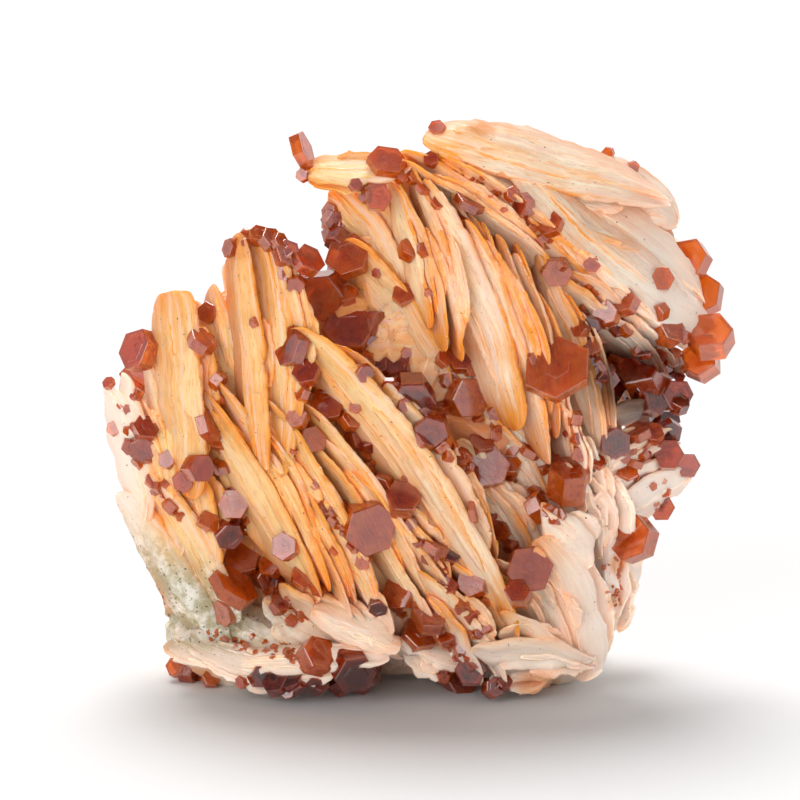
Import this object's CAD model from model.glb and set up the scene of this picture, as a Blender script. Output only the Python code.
"""The looks of the vanadinite specimen: layered barite blades, vanadinite tablets, studio light and camera.

The barite is rebuilt as one root, rough lumps and fans of layered blades, which stand for the CAD matrix. The
tablets are rebuilt with growth steps where the CAD has them, and smaller ones are seated on the blades.
Metres, +Z up, the display side faces -Y.
"""

import math
from collections import namedtuple

import bpy
import numpy as np
from mathutils import Matrix, Vector
from mathutils.bvhtree import BVHTree


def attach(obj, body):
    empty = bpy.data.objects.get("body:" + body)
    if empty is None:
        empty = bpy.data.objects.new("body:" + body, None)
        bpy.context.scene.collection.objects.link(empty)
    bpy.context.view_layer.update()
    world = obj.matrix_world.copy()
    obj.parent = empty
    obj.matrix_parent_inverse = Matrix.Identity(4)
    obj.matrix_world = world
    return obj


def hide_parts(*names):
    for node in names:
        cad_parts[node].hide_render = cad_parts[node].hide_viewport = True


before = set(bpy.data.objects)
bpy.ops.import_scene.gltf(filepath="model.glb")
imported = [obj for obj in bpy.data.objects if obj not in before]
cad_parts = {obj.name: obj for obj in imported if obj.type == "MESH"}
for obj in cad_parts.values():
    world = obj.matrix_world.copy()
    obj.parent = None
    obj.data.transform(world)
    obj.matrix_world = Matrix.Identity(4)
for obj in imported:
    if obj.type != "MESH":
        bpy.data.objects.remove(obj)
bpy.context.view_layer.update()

MM = 0.001

# The layout grid, as the part's source has it: squares of 0.11 mm seen from the display side, with columns
# counted from the left and rows from the top, along a line of sight that looks down a little.
GRID = 0.11 * MM
SIGHT_DOWN = math.radians(12)
SIGHT_SIN = math.sin(SIGHT_DOWN)
SIGHT_COS = math.cos(SIGHT_DOWN)
ORIGIN_COLUMN = 416
ORIGIN_ROW = 686

# The specimen as a heap: its display side is a shallow dome, and so is its back.
MIDDLE_COLUMN = 400
MIDDLE_ROW = 400
HALF_SPAN_COLUMNS = 320
HALF_SPAN_ROWS = 300
FRONT_BULGE = 17 * MM
FRONT_SIDE_FALL = 13 * MM
FRONT_TOP_FALL = 9 * MM
FRONT_FOOT_FALL = 6 * MM
BACK_BULGE = 15 * MM
BACK_SIDE_FALL = 11 * MM
BACK_END_FALL = 7 * MM
ROOT_DEPTH = 4.5 * MM

# A blade is a long plate. Its tips are layout squares. plus and minus are how far it swells to the
# upper right and to the lower left of the line between them, in squares. Its near rim is on the side that
# near names, proud is how far that rim stands out of the dome, dive how far the plate runs in, in mm. belly is
# where along it the blade is widest, a rear blade stands out of the back, the smaller blunt is, the squarer
# are the ends, and reach is how much further the plate runs on under its neighbour. thick is in mm.
Blade = namedtuple("Blade", "tip toe plus minus proud thick reach blunt dive belly near rear")


def fan(rows, reach=1.6, blunt=0.55, dive=4.5, belly=0.5, near=1, rear=False):
    """Blades from rows of tip column and row, toe column and row, plus, minus, proud and thick. A row may go on
    with a reach, blunt, dive and belly of its own."""
    shared = (reach, blunt, dive, belly)
    return [Blade(row[:2], row[2:4], *row[4:], *shared[len(row) - 8:], near, rear) for row in rows]


LEFT_FAN = fan([
    (174, 291, 192, 500, 24, 27, 1, 1.6, 1, 0.3, 4.5, 0.35), (214, 284, 250, 480, 12, 18, -1.6, 1.2, 1.6, 0.5),
    (250, 231, 276, 478, 36, 24, 0.6, 1.7, 1.3, 0.34, 4, 0.4),
    (246, 240, 270, 470, 8, 17, 1.5, 1, 1.2, 0.4, 2.5), (270, 242, 294, 430, 24, 12, 1.4, 1.1, 1.2, 0.5),
    (101, 384, 140, 530, 26, 12, -0.5, 1.6, 1), (120, 372, 150, 490, 12, 12, -0.2, 1.2),
    (146, 345, 172, 500, 10, 12, 0, 1), (134, 420, 176, 560, 20, 16, -0.4, 1.3, 1.2, 0.5),
    (158, 420, 214, 580, 24, 16, -0.2, 1.2, 1.6), (112, 494, 222, 672, 26, 13, -1, 2.4, 1, 0.4, 4),
    (140, 470, 236, 626, 22, 18, -0.3, 1.8, 1.2, 0.55, 4),
], reach=1.2)
MIDDLE_FAN = fan([
    (186, 396, 318, 604, 24, 16, 0.2, 1.3), (204, 390, 322, 598, 12, 13, 0.7, 1.1),
    (216, 380, 330, 592, 16, 13, 0.9, 1.1), (240, 420, 352, 620, 14, 12, 0.3, 1.1),
    (250, 410, 392, 636, 16, 12, 0.5, 1.2), (256, 392, 376, 598, 20, 14, 1.2, 1.2),
    (296, 426, 438, 640, 14, 12, 0, 1.2), (303, 405, 474, 636, 16, 17, 0.8, 1.3, 1.6, 0.55, 4.5, 0.4),
    (352, 470, 450, 580, 14, 12, 0.4, 1.1, 1.6, 0.55, 4.5, 0.7),
    (292, 330, 518, 645, 42, 14, 2, 1.7, 1.3, 0.6, 4.5, 0.45), (330, 345, 496, 560, 30, 8, 0.4, 1.1),
    (300, 588, 408, 658, 10, 14, -1, 1.4, 1), (278, 585, 340, 656, 16, 10, -1.6, 1.1, 1.2),
    (418, 570, 508, 692, 16, 10, 1.6, 1.1, 1.2), (428, 596, 482, 689, 11, 11, 1, 1, 1.2),
    (446, 560, 518, 662, 14, 10, 0.4, 1), (470, 560, 560, 668, 20, 10, 0.2, 1.2),
])
WALL_PLATES = fan([
    (212, 300, 300, 560, 50, 50, -4, 1.2), (262, 380, 420, 640, 50, 50, -4, 1.2),
    (340, 420, 512, 660, 44, 40, -4.4, 1.2), (356, 240, 480, 450, 44, 26, -4.6, 1.4, 1, 0.4),
    (440, 360, 566, 520, 26, 28, -4.2, 1.3, 1, 0.4), (456, 440, 556, 600, 26, 22, -3.8, 1.2, 1, 0.4),
    (400, 176, 520, 430, 30, 30, -3.4, 1.2, 1, 0.4), (440, 180, 610, 470, 46, 40, -3.8, 1.2),
    (440, 170, 660, 340, 34, 50, -4.6, 1.2),
], reach=1, dive=1.5, blunt=0.35)
POCKET_PLATES = fan([
    (346, 240, 450, 410, 24, 18, -3.6, 1.2), (386, 250, 476, 400, 16, 18, -4, 1.2),
    (446, 380, 548, 508, 18, 14, -3.8, 1.2, 1.6, 0.55), (462, 462, 536, 566, 14, 10, -3.2, 1.1, 1.6, 0.55),
], blunt=0.5)
CENTRE_FAN = fan([
    (388, 184, 430, 330, 12, 12, -0.8, 1), (398, 186, 446, 352, 12, 10, 0, 1),
    (410, 166, 462, 362, 11, 8, 0.6, 0.8), (424, 182, 518, 430, 24, 24, 1.4, 1.6, 1.3),
    (440, 180, 536, 420, 14, 12, 0.2, 1), (464, 222, 550, 464, 15, 15, 1.8, 1.2),
    (480, 224, 546, 440, 11, 11, 1.3, 1), (494, 236, 556, 438, 12, 11, 0.9, 1.1),
    (514, 244, 572, 452, 11, 10, 0.9, 0.9), (534, 246, 606, 478, 19, 18, 0.8, 1.4, 1.6, 0.55, 4.5, 0.6),
    (556, 400, 584, 514, 12, 10, 1.2, 1),
])
UPPER_FAN = fan([
    (400, 155, 604, 306, 18, 5, 0.6, 1.1, 1.3), (402, 163, 566, 280, 12, 14, 1.4, 1.1, 1.3),
    (424, 158, 598, 282, 24, 16, -1.2, 1.3, 1.2), (470, 190, 606, 294, 10, 9, 0.6, 0.8),
    (536, 240, 618, 308, 9, 10, 0.8, 1), (541, 272, 664, 372, 16, 14, 1.2, 1.2),
    (560, 268, 676, 366, 14, 10, 0.4, 1.1), (590, 288, 690, 372, 13, 10, -0.4, 1.1),
]) + fan([
    (498, 158, 722, 336, 22, 36, 1, 1.8), (500, 162, 706, 306, 44, 14, -1.2, 1.8, 1, 0.55, 5.5, 0.55),
    (440, 160, 640, 250, 22, 16, 0.2, 1.3, 1, 0.55, 4, 0.5),
    (422, 142, 672, 205, 40, 20, 0.6, 1.9, 1, 0.55, 6, 0.42),
    (560, 150, 680, 226, 34, 18, -3, 1.6, 1, 0.55, 5),
], reach=1, dive=5.5, belly=0.6, near=-1)
SPUR_PLATES = fan([
    (300, 172, 412, 168, 16, 20, 0.4, 1.3), (372, 156, 424, 176, 12, 10, -1, 0.8, 1, 0.55, 3),
], reach=1, dive=3.5, near=-1) + fan([
    (330, 190, 402, 300, 26, 20, -4, 1.3), (356, 184, 402, 250, 18, 14, -3.2, 1.1, 1, 0.55, 3),
], reach=1, dive=4)
RIGHT_PLATES = fan([
    (588, 422, 656, 404, 12, 14, -1, 1), (588, 462, 676, 430, 10, 14, -0.4, 1.1),
    (590, 478, 684, 444, 12, 10, 0.4, 1.1), (594, 502, 668, 458, 12, 12, 0.2, 1.1),
    (602, 526, 699, 472, 18, 16, -0.4, 1.6), (584, 436, 608, 548, 10, 16, 0.8, 1.1, 1.2, 0.55, 4.5, 0.4),
    (604, 470, 618, 576, 9, 10, 0.6, 1.2, 1, 0.35), (566, 462, 604, 560, 14, 18, 0.4, 1.3),
    (540, 502, 592, 568, 22, 24, 2.8, 2.5, 1, 0.6, 2.5, 0.6),
    (540, 536, 592, 686, 36, 30, 2.2, 2.7, 1, 0.4, 4), (522, 570, 574, 680, 20, 12, 1.4, 1.4, 1, 0.5),
    (604, 530, 596, 672, 24, 18, 0.4, 2.4, 1, 0.4, 4), (622, 556, 608, 650, 12, 18, -1.4, 1.4, 1, 0.5),
    (500, 612, 584, 678, 14, 12, 2, 1.2, 1, 0.55, 3.5), (470, 652, 600, 668, 16, 14, 2.4, 1.6),
], reach=1)
BASE_PLATES = fan([
    (158, 652, 320, 672, 16, 20, 1.4, 1.4, 1, 0.4), (168, 640, 300, 690, 20, 12, 2.2, 1.2, 1, 0.45, 2),
    (214, 668, 390, 660, 16, 15, 2.4, 1.4), (310, 612, 400, 652, 24, 16, 1, 1.3),
    (262, 600, 330, 650, 14, 20, -1.4, 1.2, 1, 0.5), (200, 600, 300, 650, 16, 30, -1, 1.4, 1, 0.4),
    (400, 640, 470, 668, 16, 18, -1, 1.4, 1, 0.5), (500, 668, 600, 660, 14, 12, 2.6, 1.6, 1, 0.45, 3),
    (490, 684, 572, 672, 12, 10, 1, 1.3, 1, 0.5, 3),
], reach=1, dive=2.5, blunt=0.45, near=-1)
BACK_PLATES = fan([
    (140, 345, 214, 560, 30, 30, 1, 1.8), (186, 296, 262, 610, 32, 30, 2, 2),
    (236, 256, 330, 650, 34, 32, 1.2, 1.9, 1.6, 0.55, 3), (298, 280, 398, 670, 32, 32, 2.6, 2),
    (340, 230, 462, 660, 36, 32, 1.4, 2, 1.6, 0.55, 3), (392, 166, 520, 640, 36, 34, 2.6, 2.2, 1.6, 0.55, 3),
    (446, 136, 576, 620, 34, 34, 1.6, 2, 1.6, 0.55, 3), (500, 132, 616, 560, 34, 34, 2.4, 2),
    (556, 146, 660, 440, 32, 32, 1.2, 1.9), (610, 160, 706, 350, 26, 28, 1, 1.8, 1.6, 0.55, 2),
    (590, 420, 640, 610, 26, 26, 0.8, 1.8),
], dive=2.5, rear=True)


def shingles(blades, seed):
    """Narrower plates leant on the given ones, a little off their lines."""
    rng = np.random.default_rng(seed)
    made = []
    for blade in blades:
        for side in (-1, 1):
            aside = side * rng.uniform(8, 22)
            tip = (blade.tip[0] + aside, blade.tip[1] + rng.uniform(-14, 110))
            toe = (blade.toe[0] + aside + rng.uniform(-12, 12), blade.toe[1] - rng.uniform(0, 120))
            made.append(blade._replace(tip=tip, toe=toe, plus=rng.uniform(8, 15), minus=rng.uniform(8, 15),
                                       proud=blade.proud + rng.uniform(-0.2, 0.7), thick=rng.uniform(0.8, 1.2),
                                       near=side, blunt=rng.uniform(0.4, 0.8), belly=rng.uniform(0.35, 0.65)))
    return made


FANS = {
    "left_fan": LEFT_FAN,
    "middle_fan": MIDDLE_FAN,
    "wall_plates": WALL_PLATES,
    "pocket_plates": POCKET_PLATES,
    "centre_fan": CENTRE_FAN,
    "upper_fan": UPPER_FAN + SPUR_PLATES,
    "right_plates": RIGHT_PLATES,
    "base_plates": BASE_PLATES,
    "back_plates": BACK_PLATES,
    "back_shingles": shingles(BACK_PLATES[:-1], 23),
}

# The root: a rough mass behind the blades. Its outline is given as reach from its middle, in squares,
# every 20 degrees from the right, counter-clockwise.
ROOT_COLUMN = 400
ROOT_ROW = 430
ROOT_REACH = (205, 215, 285, 300, 255, 190, 165, 222, 245, 275, 278, 300, 300, 246, 268, 285, 258, 226)
ROOT_SQUARENESS = 0.7
ROOT_HONEY = 0.35
FRONT_DEEP = 0.9
BACK_DEEP = 0.45
# Where the root is darkest and where it is palest: middle column and row, and how far across and up.
POCKET = (645, 378, 48, 42)
PALE_WALL = (415, 320, 50, 80)

# Lumps of rough barite that the specimen stands on: middle column and row, distance behind the origin, and half
# sizes across, in depth and up, in mm.
LUMPS = [
    (240, 660, -1, 8, 6, 4.6), (190, 652, 1, 3.6, 5, 4.4), (338, 656, 0, 6, 6, 4), (552, 634, -1.5, 6.5, 7, 7),
    (468, 668, 1, 6.4, 6, 4.4), (540, 684, -4, 2.6, 2.4, 2.2), (262, 660, 9, 9.5, 6, 7),
    (350, 640, 10.5, 8.5, 6.5, 9), (446, 652, 9.5, 9, 6, 10), (530, 662, 8.5, 8, 6.5, 7.5),
]

# Layers of a blade: how finely they are divided, how thick they are, in mm, and how uneven.
ALONG_STEP = 0.42 * MM
FEWEST_ALONG = 26
MOST_ALONG = 84
FINE_AROUND = (13, 5)
COARSE_AROUND = (8, 4)
RIM_THICKNESS = 0.32
BAND_WIDTH = 1.5
BAND_THICKNESS = 0.5
SMOOTH_THICKNESS = 2.5
FACETS = 4
FACET_HEIGHT = 0.26 * MM
FLUTE_HEIGHT = 0.09 * MM
RIB_HEIGHT = 0.03 * MM
TOOTH_LENGTH = 1.5 * MM
TOOTH_HEIGHT = 0.36 * MM
MOST_WORN = 0.35
BOW = 0.3 * MM
CROSS_BOW = 0.2 * MM
HONEY_SHARE = 0.22


def sight_points(columns, rows, depths):
    """The points on the lines of sight through layout squares that lie at these distances behind the origin."""
    across = (columns - ORIGIN_COLUMN) * GRID
    up = (ORIGIN_ROW - rows) * GRID
    depths = np.broadcast_to(depths, np.shape(across))
    return np.stack([across, depths, (up - depths * SIGHT_SIN) / SIGHT_COS], axis=-1)


def front_y(columns, rows):
    """Where the dome of the display side lies."""
    side = (columns - MIDDLE_COLUMN) / HALF_SPAN_COLUMNS
    end = (rows - MIDDLE_ROW) / HALF_SPAN_ROWS
    end_fall = np.where(end < 0, FRONT_TOP_FALL, FRONT_FOOT_FALL)
    return -FRONT_BULGE + FRONT_SIDE_FALL * side**2 + end_fall * end**2


def back_y(columns, rows):
    """Where the dome of the back lies."""
    side = (columns - MIDDLE_COLUMN) / HALF_SPAN_COLUMNS
    end = (rows - MIDDLE_ROW) / HALF_SPAN_ROWS
    return BACK_BULGE - BACK_SIDE_FALL * side**2 - BACK_END_FALL * end**2


def unit(vectors):
    return vectors / np.linalg.norm(vectors, axis=-1, keepdims=True)


def waves(rng, at, count, fall=0.8):
    """A smooth wandering curve through the values at, about -1 to 1."""
    total = np.zeros(np.shape(at))
    for number in range(1, count + 1):
        turn = rng.uniform(0, 2 * math.pi)
        pace = number * rng.uniform(0.8, 1.2)
        total = total + np.sin(2 * math.pi * pace * at + turn) / number**fall
    return total / math.sqrt(count)


def steps(rng, at, count, high):
    """A curve that jumps up or down at a few places, as the rim of a crystal's growth layer does."""
    total = np.zeros(np.shape(at))
    for place in rng.uniform(0.05, 0.95, count):
        total = total + rng.uniform(-high, high) * (at > place)
    return total


def teeth(rng, at, count, high):
    """A saw-toothed curve from 0 to high, with about that many uneven teeth."""
    cuts = np.concatenate([[-0.01], np.sort(rng.uniform(0, 1, max(2, count))), [1.01]])
    tooth = np.searchsorted(cuts, at) - 1
    climb = (at - cuts[tooth]) / (cuts[tooth + 1] - cuts[tooth])
    tall = rng.uniform(0.1, 1.0, len(cuts))
    return high * tall[tooth] * climb


class BladeShape:
    """The two rims of a blade and the direction through it."""

    def __init__(self, blade, bow_seed):
        self.blade = blade
        self.bow_seed = bow_seed
        tip = np.array(blade.tip, float)
        toe = np.array(blade.toe, float)
        run = toe - tip
        self.squares = float(np.hypot(*run))
        self.length = self.squares * GRID
        self.upper_right = np.array([run[1], -run[0]]) / self.squares
        swells = (blade.plus, -blade.minus)
        self.rim_swell, self.far_swell = swells if blade.near > 0 else (-blade.minus, blade.plus)
        self.far_swell *= blade.reach
        self.dive = blade.dive * blade.reach * MM
        self.tip = tip
        self.run = run
        step = self.upper_right * (self.far_swell - self.rim_swell)
        dive = -self.dive if blade.rear else self.dive
        inward = np.array([step[0] * GRID, dive, -step[1] * GRID])
        chord = np.diff(sight_points(*np.array([tip, toe]).T, 0.0), axis=0)[0]
        normal = unit(np.cross(chord, inward))
        self.outward = -normal if (normal[1] > 0) != blade.rear else normal

    def rims(self, along):
        """The near and the far rim at these shares of the way from tip to toe, and how swollen it is there."""
        blade = self.blade
        swell_along = np.clip(along, 0, 1) ** (math.log(0.5) / math.log(blade.belly))
        swell = np.clip(4 * swell_along * (1 - swell_along), 0, 1) ** blade.blunt
        spine = self.tip + self.run * along[..., None]
        near = spine + self.upper_right * (self.rim_swell * swell)[..., None]
        far = spine + self.upper_right * (self.far_swell * swell)[..., None]
        if blade.rear:
            near_y = back_y(*near.T) + blade.proud * MM
            far_y = near_y - self.dive * np.sqrt(swell)
        else:
            near_y = front_y(*near.T) - blade.proud * MM
            far_y = near_y + self.dive * np.sqrt(swell)
        return sight_points(*near.T, near_y), sight_points(*far.T, far_y), swell


def ragged(rng, share, length):
    """How far a rim is worn back, in metres: teeth, steps, and a few bites out of it."""
    jagged = teeth(rng, share, int(length / TOOTH_LENGTH), TOOTH_HEIGHT)
    worn = 0.05 * MM * waves(rng, share * length / (3 * MM), 5, 0.6) + jagged + steps(rng, share, 6, 0.18 * MM)
    for _ in range(rng.integers(0, 4)):
        place = rng.uniform(0.1, 0.95)
        size = rng.uniform(0.3, 1.2) * MM / length
        worn = worn + rng.uniform(0.2, 0.7) * MM * np.exp(-(((share - place) / size) ** 2))
    return worn


def quads_of(rings, around):
    """The faces of a loft of closed rings, whose ends are closed with strips across."""
    one = np.arange(around)
    nxt = (one + 1) % around
    body = [np.stack([r + one, r + nxt, r + around + nxt, r + around + one], -1)
            for r in np.arange(rings - 1) * around]
    strip = np.arange(around // 2 - 1)
    cap = np.stack([strip, around - 1 - strip, around - 2 - strip, strip + 1], -1)
    other = (rings - 1) * around + cap[:, ::-1]
    return np.concatenate([*body, cap, other])


def facing_out(points, quads):
    """The faces, turned so that the closed shape's volume is positive."""
    a, b, c, d = (points[quads[:, n]] for n in range(4))
    middle = points.mean(axis=0)
    volume = np.einsum("ij,ij->", np.cross(b - a, c - a) + np.cross(c - a, d - a), a - middle)
    return quads if volume > 0 else quads[:, ::-1]


# One closed shape that is to be joined into a piece: its points, its four-cornered faces, the direction of its
# grain with its own offset, in mm, and its paint, which is how honey-coloured, how deep and how near a rim.
Part = namedtuple("Part", "points quads grain paint")


def loft(rings, grain, paint):
    """A Part from rings of points, rings by around by 3."""
    count, around, _ = rings.shape
    points = rings.reshape(-1, 3)
    quads = facing_out(points, quads_of(count, around))
    return Part(points, quads, grain.reshape(-1, 3), paint.reshape(-1, 3))


# A layer of a blade: which share of the blade's length it covers, where its near and far rims lie between the
# blade's own (0 near, 1 far), how far out along the normal it lies, how thick it is, in mm, and how many points
# its face and its back have across.
Layer = namedtuple("Layer", "start end near far shift thick around", defaults=(COARSE_AROUND,))


def layer_rims(shape, layer, along, share, rng):
    """The blade's rims beside the layer, how swollen and how full the plate is there, how wide the blade and the
    layer are, and where across the blade the layer's own rims lie."""
    near, far, swell = shape.rims(along)
    full = (4 * share * (1 - share)) ** 0.4
    whole = layer.start <= 0 and layer.end >= 1
    half = (layer.far - layer.near) / 2 * (np.ones_like(share) if whole else full)
    width = np.linalg.norm(far - near, axis=1) + 1e-9
    limit = MOST_WORN * half * width
    worn = [np.clip(ragged(rng, share, shape.length), -limit, limit) / width for _ in range(2)]
    middle = (layer.near + layer.far) / 2
    return near, far, swell, full, width, half, middle - half + worn[0], middle + half - worn[1]


def layer_relief(layer, across, share, rng):
    """Flutes, ribs and flat facets along a layer."""
    def strayed(pace, stray):
        return across * pace + stray * waves(rng, share, 2)[:, None]

    flutes = waves(rng, strayed(0.7, 0.1), 3, 0.4)
    ribs = waves(rng, strayed(2.0, 0.12), 4, 0.4)
    drift = (across + 1) / 2 + 0.05 * waves(rng, share, 2)[:, None]
    facets = teeth(rng, np.clip(drift, 0, 1), FACETS if layer.around == FINE_AROUND else 1, FACET_HEIGHT)
    return (flutes * FLUTE_HEIGHT + ribs * RIB_HEIGHT + facets - FACET_HEIGHT / 3) * (1 - across**4)


def layer_paint(shape, along, inward, across, reach, honey):
    """How golden, how deep and how near the proud rim each point of a layer is."""
    near_rim = np.exp(-(across + 1) * reach)
    rims = np.maximum(near_rim, 0.7 * np.exp(-(1 - across) * reach))
    tipness = np.maximum(0, np.abs(2 * along - 1) - 0.55) / 0.45
    golden = honey + 0.75 * (tipness**1.3)[:, None] * (0.4 + 0.6 * (along > 0.5))[:, None] + 0.3 * rims
    deep = np.clip(inward * shape.blade.reach - 0.45, 0, 0.9)
    return np.stack([np.clip(golden, 0, 1), deep, near_rim], -1)


def layer_part(shape, layer, rng, honey):
    """A thin plate with ragged rims, bowed and ribbed along its length."""
    span = layer.end - layer.start
    share = np.linspace(0, 1, int(np.clip(shape.length * span / ALONG_STEP, FEWEST_ALONG, MOST_ALONG)))
    share = share - 0.6 * np.sin(2 * math.pi * share) / (2 * math.pi)
    along = layer.start + span * share
    near, far, swell, full, width, half, first, last = layer_rims(shape, layer, along, share, rng)
    faces = [np.cos(np.linspace(0, math.pi, count)) for count in layer.around]
    across = np.concatenate([-faces[0], faces[1]])
    side = np.repeat([1, -1], layer.around)
    inward = first[:, None] + (last - first)[:, None] * (across + 1) / 2
    points = near[:, None, :] + (far - near)[:, None, :] * inward[..., None]
    ends = np.minimum(1, swell[:, None] + 0.25)
    thin = np.clip(full, 0, 1)[:, None] ** 0.7 * ends
    rim = min(1.0, RIM_THICKNESS / layer.thick)
    half_thick = layer.thick / 2 * MM * (rim + (1 - rim) * (1 - np.abs(across) ** 5)) * thin
    relief = layer_relief(layer, across, share, rng) * thin
    bend = np.random.default_rng(shape.bow_seed)
    bow = BOW * waves(bend, along, 3)[:, None] + CROSS_BOW * waves(bend, inward, 2)
    height = layer.shift * MM + bow * ends + side * half_thick + np.where(side > 0, 1, 0.3) * relief
    seed = rng.uniform(0, 500)
    lengthwise = np.broadcast_to((share * shape.length / MM * span)[:, None] + seed, inward.shape)
    grain = np.stack([lengthwise, inward * width[:, None] / MM, np.full(inward.shape, seed)], -1)
    reach = width[:, None] * half[:, None] / (0.45 * MM)
    return loft(points + shape.outward * height[..., None], grain,
                layer_paint(shape, along, inward, across, reach, honey))


def growth_layer(blade, rng):
    """A thin layer that has grown on part of the blade's face."""
    start = rng.uniform(0.0, 0.4)
    end = min(1.0, start + rng.uniform(0.35, 0.7))
    near = rng.uniform(-0.02, 0.7) / blade.reach
    far = near + rng.uniform(0.16, 0.4) / blade.reach
    on_top = blade.thick / 2 * (1 - abs(near + far - 1) ** 4) - rng.uniform(0.08, 0.22)
    return Layer(start, end, near, min(far, 0.97), on_top, BAND_THICKNESS)


def layers_of(blade, rng):
    """The whole blade, growth layers on its face, and thin layers behind that show past its near rim."""
    thick = blade.thick
    made = [Layer(0.0, 1.0, 0.0, 1.0, 0.0, thick, FINE_AROUND)]
    width = (blade.plus + blade.minus) * GRID / MM
    bands = 1 if thick >= SMOOTH_THICKNESS else int(np.clip(width / BAND_WIDTH, 0, 4))
    made += [growth_layer(blade, rng) for _ in range(bands)]
    for number in range(1, 3):
        if rng.uniform() < 0.35:
            continue
        past = rng.uniform(0.2, 0.5) * number / (width * blade.reach)
        start = rng.uniform(0.05, 0.4)
        end = rng.uniform(0.65, 0.97)
        made.append(Layer(start, end, -past, 0.5, -(0.25 + 0.3 * number) * thick, 0.45))
    return made


def blade_parts(blade, rng):
    shape = BladeShape(blade, rng.integers(1000000))
    layers = layers_of(blade, rng)
    return [layer_part(shape, layer, rng, HONEY_SHARE + rng.uniform(-0.12, 0.14)) for layer in layers]


def globe(around, along):
    """A globe's rings, and their angles, with its poles to the front and the back."""
    turn = np.linspace(0, 2 * math.pi, around, endpoint=False)
    fall = np.linspace(0.02, math.pi - 0.02, along)
    out = np.sin(fall)[:, None] * np.ones(around)
    back = -np.cos(fall)[:, None] * np.ones(around)
    return np.broadcast_to(turn, out.shape), out, back


def cloud(rng, points, size, count=3):
    """A smooth random value through space, about -1 to 1, from a few crossing waves at each of some sizes."""
    total = np.zeros(points.shape[:-1])
    for octave in range(count):
        for _ in range(5):
            direction = unit(rng.normal(size=3)) * 2 * math.pi / (size / 2**octave) * rng.uniform(0.7, 1.3)
            total = total + np.sin(points @ direction + rng.uniform(0, 2 * math.pi)) / 2**octave
    return total / 3.2


def rough(rng, points, size, high, count=4):
    """The points moved a little, each way by a cloud of its own."""
    shift = np.stack([cloud(rng, points, size, count) for _ in range(3)], -1)
    return points + shift * high


def patch(columns, rows, place):
    """1 at the middle of the place, falling off softly around it."""
    column, row, across, high = place
    return np.exp(-(((columns - column) / across) ** 2) - ((rows - row) / high) ** 2)


def root_part(rng):
    """The rough mass behind the blades, darker towards the pocket on the right of the display side."""
    turn, out, back = globe(120, 64)
    back = np.sign(back) * np.abs(back) ** ROOT_SQUARENESS
    out = out**ROOT_SQUARENESS
    spokes = len(ROOT_REACH)
    reach = np.interp(turn / (2 * math.pi) * spokes, np.arange(spokes + 1), [*ROOT_REACH, ROOT_REACH[0]])
    columns = ROOT_COLUMN + reach * out * np.cos(turn)
    rows = ROOT_ROW - reach * out * np.sin(turn)
    front = front_y(columns, rows) + ROOT_DEPTH
    points = sight_points(columns, rows, front + (back_y(columns, rows) - front) * (back + 1) / 2)
    points = rough(rng, points, 6 * MM, 0.8 * MM)
    points = rough(rng, points, 2.6 * MM, 0.3 * MM, 3)
    paint = np.zeros(points.shape)
    paint[..., 0] = ROOT_HONEY
    deep = np.where(back < 0, FRONT_DEEP, BACK_DEEP) * (1 - 0.8 * patch(columns, rows, PALE_WALL))
    paint[..., 1] = deep + 2.2 * patch(columns, rows, POCKET) * (back < 0)
    return loft(points, points / MM, paint)


LEDGE = 1.7 * MM
UNDERCUT_HEIGHT = 4.5 * MM
UNDERCUT = 0.4


def lump_part(lump, rng):
    """A block broken along level layers, each layer's edge a little in or out of the next one's."""
    turn, out, back = globe(84, 52)
    ball = np.stack([out * np.cos(turn), back, out * np.sin(turn)], -1)
    square = np.sign(ball) * np.abs(ball) ** ROOT_SQUARENESS
    column, row, behind, *half_sizes = lump
    middle = sight_points(np.array(column), np.array(row), behind * MM)
    size = np.array(half_sizes) * MM
    points = rough(rng, middle + square * size, 9 * MM, 0.5 * MM, 3)
    layer = points[..., 2] / LEDGE + 0.5 * cloud(rng, points, 12 * MM, 2) + rng.uniform(0, 1)
    ledge = (layer - np.floor(layer)) ** 2 - 0.4 + 0.5 * np.sin(np.floor(layer) * 2.4)
    level = unit(square * size * [1, 1, 0] + 1e-9)
    points = points + level * (ledge * 0.34 * MM)[..., None]
    points = rough(rng, points, 2.4 * MM, 0.10 * MM, 3)
    low = np.clip(1 - points[..., 2:] / UNDERCUT_HEIGHT, 0, 1)
    points = points + (middle - points) * [1, 1, 0] * low**1.5 * UNDERCUT
    return loft(points, points / MM * [0.4, 0.4, 1.6], np.broadcast_to([0.1, 0.1, 0.0], points.shape))


def stand_on_floor(parts):
    """The parts with nothing below the ground."""
    return [part._replace(points=np.maximum(part.points, [-1.0, -1.0, 0.0])) for part in parts]


def joined(parts):
    """All the parts' points, and their faces counted through."""
    counts = np.cumsum([0] + [len(part.points) for part in parts[:-1]])
    quads = np.concatenate([part.quads + start for part, start in zip(parts, counts)])
    return np.concatenate([part.points for part in parts]), quads


def add_attribute(mesh, name, values):
    made = mesh.attributes.new(name, "FLOAT_VECTOR", "POINT")
    made.data.foreach_set("vector", np.ascontiguousarray(values, dtype=np.float32).ravel())


def add_piece(name, parts, material, crease):
    """One mesh of all the parts, on the specimen's one body, with edges sharper than the crease left sharp."""
    points, quads = joined(parts)
    mesh = bpy.data.meshes.new(name)
    mesh.from_pydata(points, [], quads)
    for kind in ("grain", "paint"):
        add_attribute(mesh, kind, np.concatenate([getattr(part, kind) for part in parts]))
    mesh.update()
    mesh.shade_smooth()
    mesh.set_sharp_from_angle(angle=crease)
    mesh.materials.append(material)
    made = bpy.data.objects.new(name, mesh)
    bpy.context.scene.collection.objects.link(made)
    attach(made, "root")
    return made


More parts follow.
